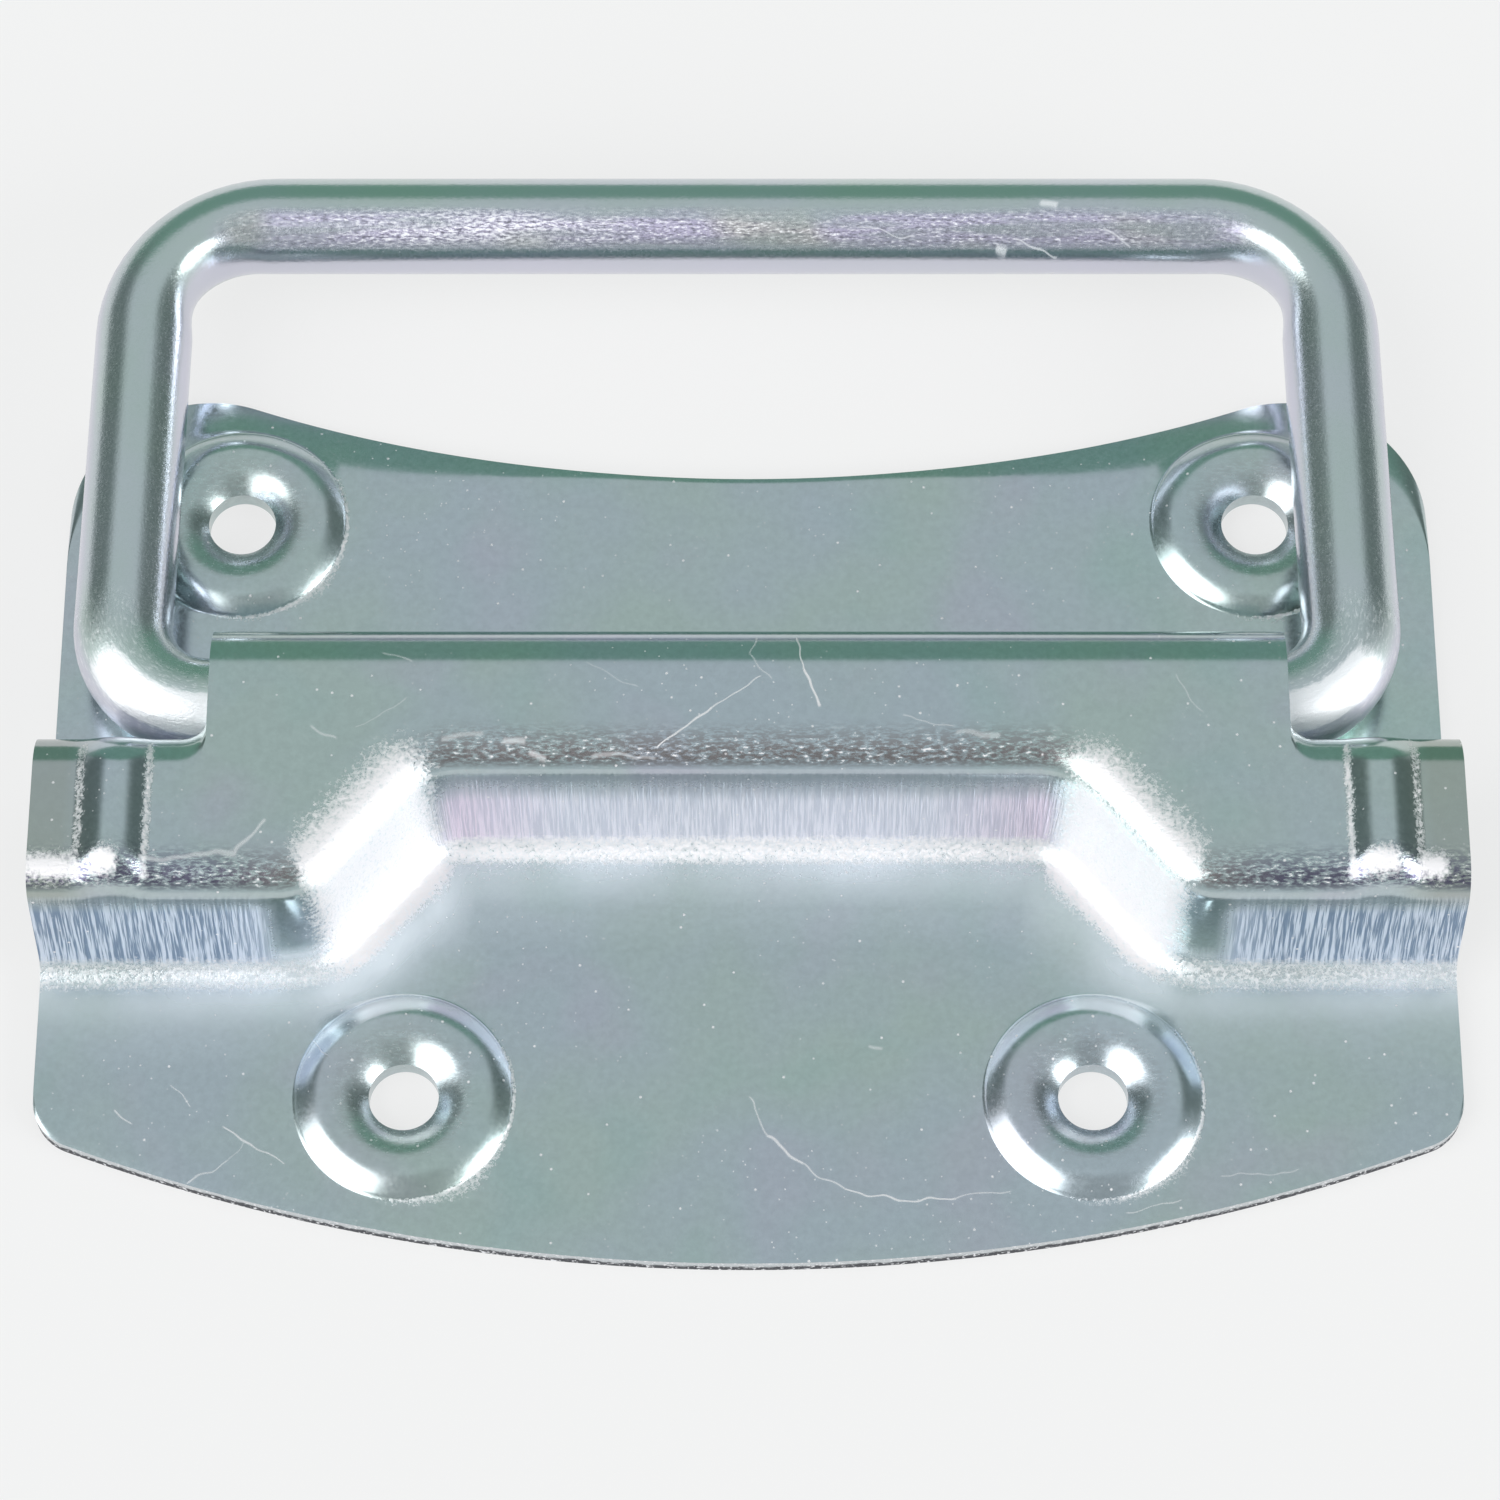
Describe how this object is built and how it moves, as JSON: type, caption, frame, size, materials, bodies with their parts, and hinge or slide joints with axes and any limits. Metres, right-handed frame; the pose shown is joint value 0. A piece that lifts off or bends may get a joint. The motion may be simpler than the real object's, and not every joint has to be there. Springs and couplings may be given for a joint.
{
  "type": "chest handle",
  "caption": "Chest handle: a pressed steel plate with screw bosses and a raised channel that holds a swinging wire bail, which folds flat and stops square to the plate.",
  "frame": {"origin": "midway between the lower screw holes, on the back face of the plate", "axes": "+X across the plate, +Y from the lower screws to the hollow upper edge, +Z away from the chest"},
  "size_m": [0.11, 0.092, 0.0142],
  "materials": {
    "plate_zinc": "clear zinc plate on pressed sheet steel, satin with fine scratches",
    "bail_zinc": "clear zinc plate on bent steel wire, bright"
  },
  "bodies": {
    "plate": {"plate": "plate_zinc"},
    "bail": {"bail": "bail_zinc"}
  },
  "joints": [
    {"name": "bail_hinge", "type": "hinge", "parent": "plate", "child": "bail", "pos_m": [0, 0.0306, 0.007], "axis": [1, 0, 0], "range_deg": [0, 90]}
  ]
}
